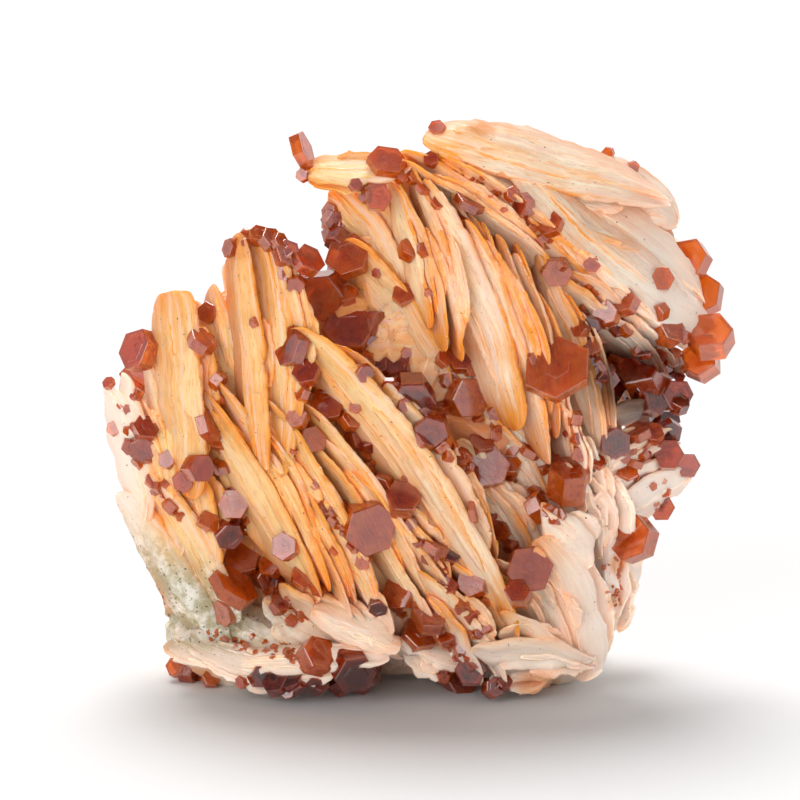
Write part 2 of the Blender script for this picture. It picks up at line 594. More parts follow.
# A crystal is a six-sided tablet. at is its middle, wide is corner to corner and thick is its height, in
# squares. lean is how far its axis leans to the right and up, away from the line of sight, spin turns it
# about its axis in degrees, proud is how far its middle stands out of the barite, in mm, and long stretches
# it along its first corner. A rear crystal sits on the back and leans as seen from behind. hue goes from
# 0, nearly black-red, through 0.5, red, to 1, clear orange.
Crystal = namedtuple("Crystal", "at wide thick lean spin proud long rear hue", defaults=(-0.2, 1.0, False, 0.5))
# How far in front of the specimen the lines of sight start, how much of a tablet's width has to rest on
# something, which of the surfaces under it carries it (0 the foremost, 1 the hindmost), how far one is brought
# forward at most, how far one is put back behind a rim, and the edges that stay sharp.
SIGHT_START = 80 * MM
FOOTPRINT = 0.5
FOREMOST = 0.15
SMALL_SHARE = 0.35
GROOVE_SHARE = 0.6
BARITE_CREASE = math.radians(28)
TABLET_CREASE = math.radians(5)
MOST_FORWARD = 7 * MM
RIM_SHIFT = 3.5 * MM
BEVEL = 0.035

# The tablets that the CAD has, by the region in their nodes' names: its hue, and rows of column, row, wide,
# thick, lean to the right and up, spin, and where they differ from the usual, proud and long.
CRYSTALS = {
    "spur": (0.55, [
        (303, 153, 40, 11, 0.9, 0.34, 0, -0.1), (387, 165, 38, 10, 0.2, 0.62, 0, -0.1, 1.1),
        (377, 200, 31, 16, 0.1, 0.1, 0, -0.6), (349, 257, 46, 16, -0.22, 0.35, 15, -0.1, 1.1),
    ]),
    "crest": (0.3, [
        (309, 263, 34, 13, 0.55, 0.55, 0, -0.5), (326, 296, 54, 34, -0.35, -0.25, 10, -1.1),
        (351, 337, 56, 36, -0.1, 0.55, 0, -1.3), (381, 328, 42, 14, 0.7, -0.15, 0, -1.6),
        (391, 361, 38, 24, 0.2, 0.3, 20, -1.6), (412, 397, 48, 26, 0.05, -0.5, 0, -0.5),
        (293, 347, 42, 14, -0.78, 0.15, 0, -0.4),
    ]),
    "long_groove": (0.55, [
        (328, 406, 38, 14, -0.15, 0.35, 10, -0.2), (403, 499, 38, 20, 0.1, 0.5, 0, -0.1),
        (368, 526, 57, 24, 0.3, -0.3, 15, -0.1),
    ]),
    "middle": (0.6, [
        (466, 397, 44, 22, 0.5, -0.1, 0, -0.2), (488, 467, 46, 14, -0.1, 0.2, 10, -0.1),
        (569, 482, 44, 36, 0.05, 0.8, 10, -0.1), (556, 371, 64, 20, -0.1, 0.3, 30, -0.1, 1.15),
    ]),
    "dark_pocket": (0.1, [
        (626, 303, 26, 14, 0, 0.4, 0, -0.4), (644, 374, 54, 32, -0.15, -0.45, 0, -1.8),
        (667, 372, 36, 12, 0.85, 0.2, 0, -1.2), (606, 386, 42, 28, 0.3, 0.1, 0, -2.2),
        (677, 396, 35, 22, 0.4, 0.1, 0, -1.4), (672, 420, 36, 20, 0, -0.2, 0, -1.6),
        (670, 332, 32, 20, 0.2, 0.2, 0, -1.2), (615, 443, 34, 12, 0.15, -0.15, 90, -0.4),
    ]),
    "right_rim": (0.8, [
        (663, 279, 26, 10, 0, 0.1, 0, -0.1), (694, 258, 46, 18, -0.2, 0.1, 0, -0.2),
        (709, 294, 44, 18, -0.1, -0.05, 20, -0.4), (713, 336, 48, 26, -0.15, 0.6, 0, -0.4),
        (705, 361, 40, 26, -0.2, -0.1, 30, -0.6), (555, 273, 32, 12, 0.1, -0.3, 0, -0.4),
    ]),
    "left_edge": (0.55, [
        (139, 350, 44, 18, -0.7, 0.2, 0, -0.2), (131, 379, 36, 14, 0.62, 0.66, 0, -0.1),
        (144, 429, 28, 14, 0.2, 0.4, 0, -0.1), (198, 468, 32, 20, 0.5, 0, 0, -0.1),
        (233, 505, 33, 11, -0.05, 0.15, 0, -0.1), (210, 426, 36, 12, 0.85, 0.3, 0, -0.7),
        (240, 561, 40, 18, -0.05, 0.3, 15, -0.1), (232, 590, 54, 14, 0.6, 0.68, 0, -0.1),
    ]),
    "foot": (0.5, [
        (286, 547, 30, 14, -0.4, 0.1, 30, -0.2), (316, 659, 40, 20, -0.3, 0.2, 0, -0.1),
        (399, 595, 36, 15, -0.5, 0.1, 0, -0.5), (432, 616, 42, 22, 0.1, 0.5, 0, -0.1),
        (418, 639, 40, 20, 0, 0.3, 20, -0.6), (473, 584, 32, 16, -0.2, 0.3, 20, -0.5),
        (529, 570, 50, 18, 0.15, 0.05, 10, -0.1), (519, 594, 28, 24, -0.1, 0.35, 0, -0.1),
        (637, 540, 50, 20, -0.5, 0.1, 10, -0.6), (667, 510, 28, 14, 0, 0, 0, -1.2),
        (671, 456, 32, 16, 0, 0.2, 0, -0.5), (691, 467, 26, 15, 0.2, 0.1, 0, -0.7),
        (352, 672, 46, 24, 0.1, 0.2, 0, -1.2), (472, 674, 34, 18, 0, 0.2, 0, -1.2),
    ]),
    "back": (0.5, [
        (262, 370, 40, 20, 0.2, 0.3, 10), (352, 452, 46, 22, -0.3, 0.2, 0), (384, 470, 30, 18, 0.3, -0.2, 20),
        (470, 300, 38, 18, 0.1, 0.4, 0), (548, 420, 42, 20, -0.2, 0.1, 15), (300, 560, 34, 18, 0, 0.3, 0),
    ]),
}

# Tablets too small for the CAD: column, row, wide, thick, hue, and for some the lean to the right and up.
SMALL_CRYSTALS = [
    (299, 189, 26, 9, 0.5, 0.05, 0.92), (309, 199, 18, 12, 0.4, -0.3, 0.3), (304, 178, 14, 7, 0.5, -0.4, 0.2),
    (356, 188, 14, 8, 0.5), (366, 198, 17, 7, 0.5, -0.85, 0.1), (401, 180, 14, 8, 0.5, 0.5, 0.3),
    (335, 222, 28, 14, 0.3), (338, 240, 26, 18, 0.3), (231, 249, 20, 8, 0.6, -0.8, 0.15),
    (260, 238, 20, 14, 0.8, 0.1, 0.5), (272, 242, 24, 13, 0.6, 0.5, 0.5), (281, 244, 18, 10, 0.5, 0.6, 0.4),
    (288, 256, 28, 14, 0.4, 0.4, 0.3), (298, 286, 20, 12, 0.4), (405, 353, 13, 8, 0.9),
    (308, 374, 28, 16, 0.4, -0.2, 0.4), (304, 393, 18, 8, 0.5, -0.8, 0.3), (351, 419, 24, 12, 0.5, 0.4, 0.4),
    (356, 407, 14, 5, 0.7, -0.3, 0.3), (358, 438, 26, 14, 0.2), (299, 418, 24, 12, 0.9, -0.3, 0.3),
    (312, 440, 30, 14, 0.7, 0.3, 0.2), (370, 445, 16, 10, 0.2), (382, 484, 24, 12, 0.5),
    (334, 512, 12, 5, 0.7, 0.6, 0.5), (346, 505, 12, 5, 0.7, 0.6, 0.5), (335, 550, 12, 5, 0.7, 0.5, 0.6),
    (405, 478, 9, 6, 0.7), (440, 406, 22, 12, 0.4, 0.2, 0.8), (445, 359, 20, 12, 0.6, 0.4, 0.3),
    (460, 363, 24, 16, 0.5, 0.1, 0.4), (471, 370, 16, 10, 0.6, 0.5, 0.1), (432, 428, 36, 20, 0.2),
    (424, 438, 26, 8, 0.4, 0.6, 0.6), (448, 455, 14, 9, 0.9), (462, 460, 14, 7, 0.8),
    (481, 442, 28, 12, 0.5, 0.2, 0.5), (510, 466, 24, 14, 0.8), (510, 478, 16, 12, 0.5),
    (530, 451, 24, 9, 0.5, 0.5, 0.8), (544, 469, 12, 10, 0.5), (533, 360, 16, 10, 0.6),
    (573, 418, 18, 12, 0.9), (566, 433, 8, 6, 0.5), (576, 438, 14, 8, 0.6), (580, 453, 18, 8, 0.5),
    (597, 462, 20, 6, 0.5, 0.3, 0.7), (580, 330, 18, 14, 0.5), (592, 348, 18, 12, 0.9),
    (606, 314, 28, 14, 0.5, -0.4, 0.2), (626, 330, 16, 10, 0.9), (660, 312, 20, 12, 0.6),
    (619, 360, 24, 18, 0.3, 0.3, 0.85), (656, 400, 34, 24, 0.1, 0.3, 0.2), (640, 388, 22, 16, 0.1),
    (682, 405, 20, 14, 0.2), (693, 413, 12, 9, 0.3), (675, 428, 24, 14, 0.2), (684, 336, 16, 10, 0.5),
    (638, 433, 32, 10, 0.6, -0.3, 0.85), (655, 434, 24, 10, 0.6, 0, 0.6), (610, 151, 13, 8, 0.7),
    (635, 165, 13, 8, 0.7), (585, 143, 8, 6, 0.8), (437, 131, 18, 8, 0.7, -0.2, 0.6), (431, 163, 16, 10, 0.6),
    (469, 206, 34, 9, 0.4, 0.45, 0.8), (510, 197, 16, 10, 0.6), (521, 209, 28, 12, 0.5),
    (548, 227, 28, 10, 0.5, -0.3, 0.5), (540, 240, 14, 9, 0.6), (560, 266, 14, 9, 0.6), (590, 265, 18, 8, 0.6),
    (409, 251, 24, 14, 0.8), (424, 252, 18, 6, 0.6, 0.6, 0.4), (437, 206, 14, 6, 0.6, 0.3, 0.4),
    (414, 181, 14, 9, 0.9), (423, 191, 18, 6, 0.6, 0.4, 0.7), (460, 220, 16, 6, 0.6, 0.4, 0.7),
    (378, 274, 11, 8, 0.6), (404, 296, 24, 12, 0.5), (428, 294, 9, 6, 0.6), (106, 383, 14, 6, 0.5, -0.5, 0.5),
    (135, 395, 14, 9, 0.6), (111, 429, 16, 6, 0.8, -0.3, 0.2), (127, 446, 18, 11, 0.5),
    (140, 448, 30, 14, 0.3, 0.1, -0.4), (135, 464, 16, 6, 0.8), (183, 480, 24, 12, 0.5, -0.2, -0.3),
    (167, 460, 20, 10, 0.6, -0.4, 0.2), (170, 507, 20, 12, 0.8), (164, 484, 10, 7, 0.6),
    (153, 492, 10, 7, 0.6), (222, 400, 10, 7, 0.7), (257, 323, 12, 8, 0.7), (210, 313, 24, 16, 0.6, -0.5, 0.1),
    (203, 342, 30, 13, 0.4, 0.5, 0.7), (208, 523, 24, 16, 0.8), (227, 533, 32, 20, 0.3),
    (219, 381, 20, 11, 0.6), (304, 578, 28, 14, 0.6, 0.2, 0.3), (319, 588, 22, 7, 0.6, 0.4, 0.6),
    (263, 578, 30, 20, 0.2), (270, 568, 26, 14, 0.8), (268, 594, 14, 9, 0.6),
    (276, 608, 22, 11, 0.5, 0.5, 0.6), (289, 625, 14, 9, 0.6), (223, 615, 30, 14, 0.9),
    (446, 638, 26, 10, 0.6, -0.2, 0.6), (460, 652, 14, 9, 0.5), (378, 607, 20, 12, 0.1),
    (434, 546, 32, 10, 0.5, 0.45, 0.85), (452, 556, 18, 12, 0.2), (484, 603, 14, 8, 0.9),
    (478, 634, 12, 8, 0.6), (512, 545, 18, 12, 0.6), (503, 531, 22, 14, 0.5), (538, 508, 32, 16, 0.8),
    (473, 511, 24, 6, 0.7, 0.97, 0.1), (637, 463, 20, 8, 0.8), (628, 471, 24, 5, 0.6, 0.2, 0.6),
    (182, 681, 26, 16, 0.4), (240, 686, 14, 9, 0.6), (274, 684, 34, 18, 0.1), (448, 690, 24, 16, 0.1),
    (506, 687, 16, 10, 0.2), (462, 690, 34, 22, 0.1, 0.3, 0.3), (482, 696, 30, 20, 0.05, -0.3, 0.3),
    (494, 692, 22, 14, 0.2, 0.4, 0.2), (338, 684, 34, 22, 0, -0.5, 0.6), (362, 682, 36, 24, 0, 0.3, 0.4),
    (258, 680, 24, 14, 0.1, 0.4, 0.1), (290, 684, 26, 16, 0.1, -0.3, 0.5), (206, 686, 20, 12, 0.8, 0.2, 0.4),
    (170, 676, 22, 12, 0.8, -0.4, 0.3),
]


def sight_axes(rear):
    """Right, up and towards the viewer, as seen from behind or from the display side."""
    if rear:
        return Vector((-1, 0, 0)), Vector((0, 0, 1)), Vector((0, 1, 0))
    return Vector((1, 0, 0)), Vector((0, SIGHT_SIN, SIGHT_COS)), Vector((0, -SIGHT_COS, SIGHT_SIN))


def line_start(crystal):
    """Where the line of sight to the crystal's middle starts, in front of the specimen, or behind it."""
    column, row = crystal.at
    plane = back_y(np.float64(column), np.float64(row)) if crystal.rear else 0.0
    _, _, toward = sight_axes(crystal.rear)
    return Vector(sight_points(np.float64(column), np.float64(row), plane)) + toward * SIGHT_START


def crystal_axes(crystal):
    """The crystal's first and second direction across, and its axis."""
    right, up, toward = sight_axes(crystal.rear)
    lean_right, lean_up = crystal.lean
    lean_toward = math.sqrt(max(0.0, 1 - lean_right**2 - lean_up**2))
    axis = (right * lean_right + up * lean_up + toward * lean_toward).normalized()
    first = (right - axis * right.dot(axis)).normalized()
    first.rotate(Matrix.Rotation(math.radians(crystal.spin), 3, axis))
    return first, axis.cross(first), axis


def half_depth(crystal):
    """How deep the crystal is from its middle along the line of sight, and which way that face looks."""
    first, second, axis = crystal_axes(crystal)
    _, _, toward = sight_axes(crystal.rear)
    reach = crystal.wide * GRID / 2 * math.cos(math.pi / 6)
    faces = [(axis, crystal.thick * GRID / 2)]
    for step in range(3):
        turn = math.radians(30 + 60 * step)
        faces.append((first * math.cos(turn) + second * math.sin(turn), reach))
    depths = [(far / max(1e-6, abs(normal.dot(toward))), normal) for normal, far in faces]
    depth, normal = min(depths, key=lambda pair: pair[0])
    return depth, normal if normal.dot(toward) > 0 else -normal


def node_tree(names):
    """A search tree of these CAD nodes' faces together."""
    points = []
    faces = []
    for name in names:
        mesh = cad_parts[name].data
        start = len(points)
        points += [v.co.copy() for v in mesh.vertices]
        faces += [[start + i for i in p.vertices] for p in mesh.polygons]
    return BVHTree.FromPolygons(points, faces)


def seat_in_nodes(crystal, tree):
    """The middle of a crystal that the CAD has, from where its front face lies."""
    _, _, toward = sight_axes(crystal.rear)
    depth, facing = half_depth(crystal)
    start = line_start(crystal)
    best = None
    for _ in range(6):
        hit, normal, _, _ = tree.ray_cast(start, -toward)
        if hit is None:
            break
        match = normal.dot(facing)
        if best is None or match > best[0] + 0.01:
            best = (match, hit - toward * depth)
        start = hit - toward * 0.01 * MM
    return best[1] if best else None


def seat_on(crystal, trees, share):
    """A crystal's middle, or None beside the specimen: proud of the surface that this share of the ones that it
    covers stand in front of."""
    right, up, toward = sight_axes(crystal.rear)
    reach = crystal.wide * FOOTPRINT / 2 * GRID
    start = line_start(crystal)
    distances = []
    for step in range(7):
        turn = math.radians(60 * step)
        aside = (right * math.cos(turn) + up * math.sin(turn)) * reach if step < 6 else Vector()
        for tree in trees:
            _, _, _, distance = tree.ray_cast(start + aside, -toward)
            if distance is not None:
                distances.append(distance)
    if not distances:
        return None
    distances.sort()
    far = distances[int(share * len(distances))]
    return start - toward * (far - crystal.proud * MM)


def seat_in_front(crystal, tree, barite):
    """The middle of a crystal that the CAD has, brought forward as far as the fine blades would bury it."""
    middle = seat_in_nodes(crystal, tree)
    bare = seat_on(crystal, [barite], FOREMOST)
    if bare is None:
        return middle
    _, _, toward = sight_axes(crystal.rear)
    buried = (bare - middle).dot(toward)
    behind = RIM_SHIFT * (crystal.at in BEHIND_THE_RIM)
    return middle + toward * (min(max(0.0, buried), MOST_FORWARD) - behind)


def tablet_outline(rng, wide, long):
    """The six corners of a slightly uneven hexagon, as a function of how far it is drawn in."""
    reach = wide / 2 * math.cos(math.pi / 6) * rng.uniform(0.93, 1.05, 6)
    angles = np.radians(30 + 60 * np.arange(6))
    normals = np.stack([np.cos(angles), np.sin(angles)], -1)

    def corners(inset):
        made = []
        for one in range(6):
            other = (one + 1) % 6
            pair = np.array([normals[one], normals[other]])
            made.append(np.linalg.solve(pair, np.array([reach[one], reach[other]]) - inset))
        made = np.array(made) * [long, 1.0]
        between = (made + np.roll(made, -1, axis=0)) / 2
        return np.stack([made, between], 1).reshape(-1, 2)

    return corners


def crystal_part(crystal, middle, rng):
    """A six-sided tablet with bevelled edges and a low step on its flat faces, painted with its hue, how near an
    edge it is, and how far in from the sides, in mm."""
    first, second, axis = (np.array(direction) for direction in crystal_axes(crystal))
    wide = crystal.wide * GRID
    half = crystal.thick * GRID / 2
    corners = tablet_outline(rng, wide, crystal.long)
    plateau = rng.uniform(0.14, 0.3) * wide
    step = rng.uniform(-0.03, 0.03) * min(wide, 2 * half)
    bevel = BEVEL * min(wide, 2.5 * half)
    upper = [
        (0.40 * wide, half + step, 0.0),
        (plateau + abs(step), half + step, 0.3),
        (plateau, half, 0.3),
        (bevel, half, 0.9),
        (0.0, half - bevel, 1.0),
        (0.0, 0.35 * half, 0.3),
    ]
    insets, highs, edges = np.array(upper + [(inset, -high, edge) for inset, high, edge in reversed(upper)]).T
    flat = np.array([corners(inset) for inset in insets])
    offset = flat[..., :1] * first + flat[..., 1:] * second + highs[:, None, None] * axis
    points = np.array(middle) + offset
    paint = np.zeros(points.shape)
    paint[..., 0] = np.clip(crystal.hue + rng.uniform(-0.15, 0.15), 0, 1)
    paint[..., 1] = edges[:, None]
    paint[:, ::2, 1] = np.maximum(paint[:, ::2, 1], 0.8 * (insets == 0)[:, None])
    paint[..., 2] = insets[:, None] / MM
    local = (points - np.array(middle)) / MM
    grain = np.stack([local @ axis, local @ first, local @ second + rng.uniform(0, 300)], -1)
    return loft(points, grain, paint)


def srgb(code):
    """A linear colour from a hex code."""
    values = [int(code[place:place + 2], 16) / 255 for place in (1, 3, 5)]
    linear = [v / 12.92 if v <= 0.04045 else ((v + 0.055) / 1.055) ** 2.4 for v in values]
    return (*linear, 1.0)


class Graph:
    """The nodes of a material or a world, with a short way to add and join them."""

    def __init__(self, owner):
        owner.use_nodes = True
        self.nodes = owner.node_tree.nodes
        self.links = owner.node_tree.links

    def set(self, node, inputs):
        """Each of the node's inputs, by name or by place, set or joined."""
        for place, value in inputs.items() if isinstance(inputs, dict) else enumerate(inputs):
            if isinstance(value, bpy.types.NodeSocket):
                self.links.new(value, node.inputs[place])
            else:
                node.inputs[place].default_value = value

    def add(self, kind, inputs=(), **settings):
        node = self.nodes.new(kind)
        for name, value in settings.items():
            setattr(node, name, value)
        self.set(node, inputs)
        return node

    def maths(self, operation, one, other=0.0, clamp=False):
        return self.add("ShaderNodeMath", (one, other), operation=operation, use_clamp=clamp).outputs[0]

    def varied(self, value, noise, much):
        """The value with this much of a noise about its middle added."""
        return self.maths("ADD", value, self.maths("MULTIPLY", self.maths("SUBTRACT", noise, 0.5), much))

    def scaled(self, vector, factors):
        return self.add("ShaderNodeVectorMath", (vector, factors), operation="MULTIPLY").outputs[0]

    def noise(self, vector, scale, detail=3.0, roughness=0.55):
        inputs = {"Vector": vector, "Scale": scale, "Detail": detail, "Roughness": roughness}
        return self.add("ShaderNodeTexNoise", inputs).outputs["Fac"]

    def between(self, value, low, high, to_low=0.0, to_high=1.0):
        """The value's place between low and high, smoothed and mapped to the other range."""
        inputs = (value, low, high, to_low, to_high)
        return self.add("ShaderNodeMapRange", inputs, interpolation_type="SMOOTHSTEP").outputs[0]

    def mix(self, factor, one, other):
        return self.add("ShaderNodeMix", {0: factor, 6: one, 7: other}, data_type="RGBA").outputs[2]

    def attribute(self, name):
        return self.add("ShaderNodeAttribute", attribute_name=name).outputs["Vector"]

    def split(self, name):
        """The three values of one of the mesh's attributes."""
        return self.add("ShaderNodeSeparateXYZ", (self.attribute(name),)).outputs

    def bump(self, height, strength, distance):
        inputs = {"Height": height, "Strength": strength, "Distance": distance}
        return self.add("ShaderNodeBump", inputs).outputs[0]


CREAM = srgb("#F9D292")
PALE_CREAM = srgb("#FFF2DC")
HONEY = srgb("#F2A03E")
GOLD = srgb("#DB8412")
PINK_WHITE = srgb("#FFEEE0")
GREY_WHITE = srgb("#EFE9DC")
AMBER = srgb("#DC7A28")
BLUSH = srgb("#F6D2BE")
OLIVE = srgb("#B4A985")
DEEP_TAN = srgb("#C86414")
CAVITY = srgb("#4A1E0C")
SPECK = srgb("#3B2514")
BLACK_RED = srgb("#5A1406")
RED = srgb("#CE3E10")
ORANGE = srgb("#FF7818")


def streaked_colour(g, grain, place, honey, pale):
    """Cream with honey, gold, amber and pink streaks along the grain."""
    streak = g.noise(g.scaled(grain, (0.10, 1.3, 1.0)), 1.0, 6.0, 0.62)
    flecks = g.noise(g.scaled(grain, (0.7, 5.0, 1.0)), 1.0, 3.0, 0.6)
    blush = g.noise(g.scaled(grain, (0.07, 1.9, 1.3)), 1.0, 4.0, 0.6)
    stain = g.varied(g.varied(honey, streak, 1.1), g.noise(place, 0.16), 0.9)
    colour = g.mix(g.between(stain, 0.05, 0.8), g.mix(pale, CREAM, PALE_CREAM), HONEY)
    colour = g.mix(g.between(stain, 0.75, 1.25), colour, GOLD)
    colour = g.mix(g.between(flecks, 0.52, 0.7, 0.0, 0.55), colour, AMBER)
    return g.mix(g.between(blush, 0.48, 0.64, 0.0, 0.65), colour, BLUSH)


def weathered_colour(g, colour, place, deep, pink, grey):
    """The colour turned pink-white or to grey rock, stained, darker deep down, and dusted with specks."""
    shade, orange, _ = g.split("stain")
    colour = g.mix(g.maths("MULTIPLY", pink, 0.95), colour, PINK_WHITE)
    rock = g.mix(g.between(g.noise(place, 0.45, 5.0, 0.65), 0.36, 0.58), GREY_WHITE, OLIVE)
    colour = g.mix(grey, colour, rock)
    colour = g.mix(g.maths("MULTIPLY", orange, 0.75, clamp=True), colour, GOLD)
    tan = g.maths("MULTIPLY", deep, g.between(pink, 0.0, 1.0, 0.8, 0.25), clamp=True)
    colour = g.mix(tan, colour, DEEP_TAN)
    colour = g.mix(g.between(deep, 2.0, 3.0), colour, CAVITY)
    colour = g.mix(g.maths("MULTIPLY", shade, 0.9, clamp=True), colour, CAVITY)
    dust = g.maths("ADD", g.noise(place, 2.6, 2.0, 0.5), g.maths("MULTIPLY", grey, 0.08))
    return g.mix(g.between(dust, 0.725, 0.75, 0.0, 0.85), colour, SPECK)


def barite_material():
    """Honey-stained cream barite, streaked along its blades."""
    material = bpy.data.materials.new("barite_layers")
    g = Graph(material)
    honey, deep, edge = g.split("paint")
    pink, grey, pale = g.split("cast")
    grain = g.attribute("grain")
    place = g.scaled(g.add("ShaderNodeTexCoord").outputs["Object"], (1000, 1000, 1000))
    fine = g.noise(g.scaled(grain, (0.35, 7.0, 1.0)), 1.0, 4.0)
    crumb = g.noise(place, 2.2, 4.0)
    colour = streaked_colour(g, grain, place, honey, pale)
    dull = g.between(fine, 0.3, 0.7, 0.28, 0.5)
    relief = g.maths("ADD", g.maths("MULTIPLY", fine, 0.7), g.maths("MULTIPLY", crumb, 0.5))
    surface = g.nodes["Principled BSDF"]
    surface.subsurface_method = "BURLEY"
    g.set(surface, {
        "Base Color": weathered_colour(g, colour, place, deep, pink, grey),
        "Roughness": g.maths("MULTIPLY", dull, g.between(edge, 0.3, 0.9, 1.0, 0.4)),
        "IOR": 1.64,
        "Specular IOR Level": 0.35,
        "Subsurface Weight": 0.7,
        "Subsurface Radius": (1.0, 0.5, 0.25),
        "Subsurface Scale": 1.1 * MM,
        "Normal": g.bump(relief, 0.6, 0.2 * MM),
    })
    return material


def vanadinite_material():
    """Glossy red-orange vanadinite, more orange where it is clear."""
    material = bpy.data.materials.new("vanadinite_tablets")
    g = Graph(material)
    hue, edge, inset = g.split("paint")
    grain = g.attribute("grain")
    veil = g.noise(g.scaled(grain, (1.2, 1.2, 1.2)), 1.0, 4.0)
    bands = g.noise(g.scaled(grain, (5.0, 0.6, 0.6)), 1.0)
    tone = g.maths("ADD", g.varied(hue, veil, 0.8), g.maths("MULTIPLY", edge, 0.22))
    zone = g.maths("SINE", g.maths("ADD", g.maths("MULTIPLY", inset, 17.0), g.maths("MULTIPLY", veil, 3.0)))
    tone = g.maths("ADD", tone, g.between(zone, 0.9, 1.0, 0.0, 0.25))
    colour = g.mix(g.between(tone, 0.05, 0.5), BLACK_RED, RED)
    g.set(g.nodes["Principled BSDF"], {
        "Base Color": g.mix(g.between(tone, 0.45, 1.0), colour, ORANGE),
        "Roughness": g.between(bands, 0.3, 0.7, 0.08, 0.2),
        "IOR": 2.35,
        "Transmission Weight": 0.7,
        "Specular IOR Level": 0.12,
        "Normal": g.bump(bands, 0.12, 0.08 * MM),
    })
    return material


# Studio.
LENS = 200
SENSOR = 36
VIEW_WIDTH = 88 * MM
AIM_DEPTH = -11 * MM
FLOOR_REACH = 6.0
FLOOR_WHITE = (0.74, 0.74, 0.74, 1)
WHITE = (1, 1, 1, 1)
VIEWER_SIDE = (0.0, -0.97, 0.22)
# Soft boxes: name, direction from the specimen, strength, and how wide it looks, in degrees.
LIGHTS = [
    ("top_light", (-0.12, 0.42, 1.0), 2.7, 36),
    ("left_light", (-0.7, -1.0, 0.34), 1.75, 55),
    ("front_light", (0.2, -1.0, 0.12), 0.4, 60),
    ("right_light", (1.0, -0.6, 0.3), 0.5, 70),
]


def add_camera():
    """A long lens, looking down a little, whose picture is 88 mm across at the front of the specimen."""
    aim = Vector(sight_points(np.float64(MIDDLE_COLUMN), np.float64(MIDDLE_ROW), AIM_DEPTH))
    data = bpy.data.cameras.new("camera")
    data.lens = LENS
    data.sensor_width = SENSOR
    data.clip_start = 0.01
    data.clip_end = 20
    camera = bpy.data.objects.new("camera", data)
    away = LENS / SENSOR * VIEW_WIDTH
    camera.location = aim + Vector((0, -SIGHT_COS, SIGHT_SIN)) * away
    camera.rotation_euler = (math.pi / 2 - SIGHT_DOWN, 0, 0)
    bpy.context.scene.collection.objects.link(camera)
    bpy.context.scene.camera = camera


def add_sun(name, direction, strength, angle):
    """Light from a far soft box: direction points from the specimen to it."""
    data = bpy.data.lights.new(name, "SUN")
    data.energy = strength
    data.angle = math.radians(angle)
    lamp = bpy.data.objects.new(name, data)
    lamp.rotation_euler = Vector(direction).to_track_quat("Z", "Y").to_euler()
    bpy.context.scene.collection.objects.link(lamp)


def add_floor():
    """A wide pale table top."""
    mesh = bpy.data.meshes.new("floor")
    corners = [(-1, -1), (1, -1), (1, 1), (-1, 1)]
    mesh.from_pydata([(x * FLOOR_REACH, y * FLOOR_REACH, 0) for x, y in corners], [], [(0, 1, 2, 3)])
    floor = bpy.data.objects.new("floor", mesh)
    bpy.context.scene.collection.objects.link(floor)
    material = bpy.data.materials.new("white_table")
    g = Graph(material)
    g.set(g.nodes["Principled BSDF"], {"Base Color": FLOOR_WHITE, "Roughness": 0.8, "Specular IOR Level": 0.1})
    mesh.materials.append(material)


def add_world():
    """A white room that is dim on the side that the specimen is seen from."""
    world = bpy.data.worlds.new("studio")
    g = Graph(world)
    room = g.nodes["Background"]
    where = g.add("ShaderNodeTexCoord").outputs["Generated"]
    near = g.add("ShaderNodeVectorMath", (where, VIEWER_SIDE), operation="DOT_PRODUCT").outputs["Value"]
    g.set(room, (WHITE, g.between(near, -0.6, 0.4, 1.0, 0.13)))
    seen = g.add("ShaderNodeBackground", (WHITE,))
    directly = g.add("ShaderNodeLightPath").outputs["Is Camera Ray"]
    blend = g.add("ShaderNodeMixShader", (directly, room.outputs[0], seen.outputs[0]))
    g.set(g.nodes["World Output"], {"Surface": blend.outputs[0]})
    bpy.context.scene.world = world
    bpy.context.scene.view_settings.view_transform = "Standard"


def add_studio():
    add_camera()
    add_floor()
    add_world()
    for light in LIGHTS:
        add_sun(*light)


def squares_of(points):
    """The columns and rows of the layout squares that these points lie behind."""
    columns = points[:, 0] / GRID + ORIGIN_COLUMN
    rows = ORIGIN_ROW - (points[:, 2] * SIGHT_COS + points[:, 1] * SIGHT_SIN) / GRID
    return columns, rows


# Stained spots: middle square, half sizes across and up in squares, and how strong.
DARK_SPOTS = [((640, 380), 58, 46, 1.0), ((604, 372), 34, 26, 0.6), ((690, 372), 20, 26, 0.7)]
ORANGE_SPOTS = [((481, 131), 17, 10, 1.0), ((244, 250), 14, 14, 0.7), ((540, 690), 26, 16, 0.8),
                ((620, 566), 10, 12, 0.8), ((618, 604), 9, 10, 0.8), ((190, 684), 26, 12, 0.9)]


def ramp(values, start, length):
    """0 at the start, rising to 1 over the length."""
    return np.clip((values - start) / length, 0, 1)


def spots(columns, rows, listed):
    """How much of the listed stains is at each square."""
    most = np.zeros(len(columns))
    for (column, row), across, high, strength in listed:
        far = np.hypot((columns - column) / across, (rows - row) / high)
        most = np.maximum(most, strength * np.clip(2.2 - 2 * far, 0, 1))
    return most


def stain_of(points):
    """How dark and how orange the barite of the display side is stained at these points. The third is unused."""
    squares = squares_of(points)
    shown = points[:, 1] < 0
    return np.stack([spots(*squares, DARK_SPOTS) * shown, spots(*squares, ORANGE_SPOTS) * shown, 0 * shown], -1)


